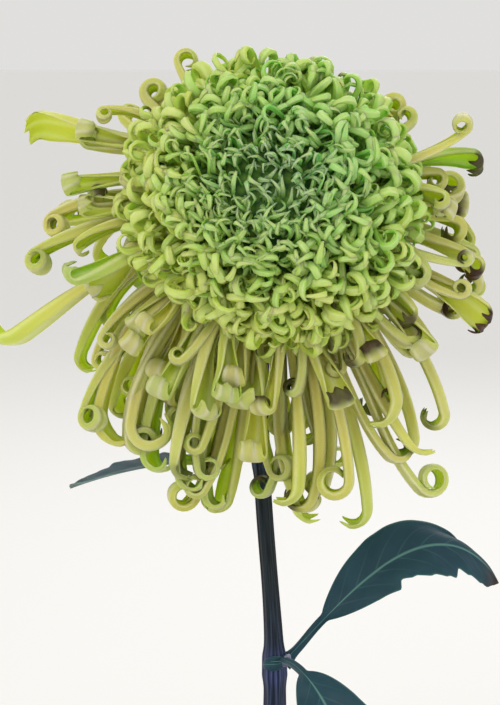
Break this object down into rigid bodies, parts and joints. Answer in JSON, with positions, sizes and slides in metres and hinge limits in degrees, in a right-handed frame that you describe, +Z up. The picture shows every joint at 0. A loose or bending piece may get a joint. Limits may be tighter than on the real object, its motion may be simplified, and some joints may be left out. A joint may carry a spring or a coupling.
{
  "type": "potted chrysanthemum",
  "caption": "Single-stemmed chrysanthemum with one large quilled, curly-tipped bloom, growing in a round clay pot of soil.",
  "frame": {"origin": "centre of the pot's underside, on the surface it stands on", "axes": "+Z up along the stem, -Y towards the side that the bloom faces, +X to the right of someone who looks at the bloom"},
  "size_m": [0.2201, 0.2036, 0.5416],
  "materials": {
    "pot": "matte unglazed fired clay",
    "soil": "damp loose potting soil of bark and peat",
    "stem": "satin, ribbed living stem, slate green to purple",
    "leaf": "soft matte living leaf with pale veins",
    "bract": "matte green",
    "floret": "soft satin living petals, blue-green to yellow-green",
    "petal": "soft satin living petals, pale yellow-green"
  },
  "bodies": {
    "root": {"pot": "pot", "potting_soil": "soil", "stem": "stem", "leaf_right": "leaf", "leaf_lower_right": "leaf", "leaf_left": "leaf", "leaf_01": "leaf", "leaf_02": "leaf", "leaf_03": "leaf", "leaf_04": "leaf", "leaf_05": "leaf", "leaf_06": "leaf", "leaf_07": "leaf", "leaf_08": "leaf", "receptacle": "bract", "bract_cup": "bract", "crown_florets": "floret", "petal_01": "petal", "petal_02": "petal", "petal_03": "petal", "petal_04": "petal", "petal_05": "petal", "petal_06": "petal", "petal_07": "petal", "petal_08": "petal", "petal_09": "petal", "petal_10": "petal", "petal_11": "petal", "petal_12": "petal", "petal_13": "petal", "petal_14": "petal", "petal_15": "petal", "petal_16": "petal", "petal_17": "petal", "petal_18": "petal", "petal_19": "petal", "petal_20": "petal", "petal_21": "petal", "petal_22": "petal", "petal_23": "petal", "petal_24": "petal", "petal_25": "petal", "petal_26": "petal", "petal_27": "petal", "petal_28": "petal", "petal_29": "petal", "petal_30": "petal", "petal_31": "petal", "petal_32": "petal", "petal_33": "petal", "petal_34": "petal", "petal_35": "petal", "petal_36": "petal", "petal_37": "petal", "petal_38": "petal", "petal_39": "petal", "petal_40": "petal", "petal_41": "petal", "petal_42": "petal"}
  },
  "joints": []
}
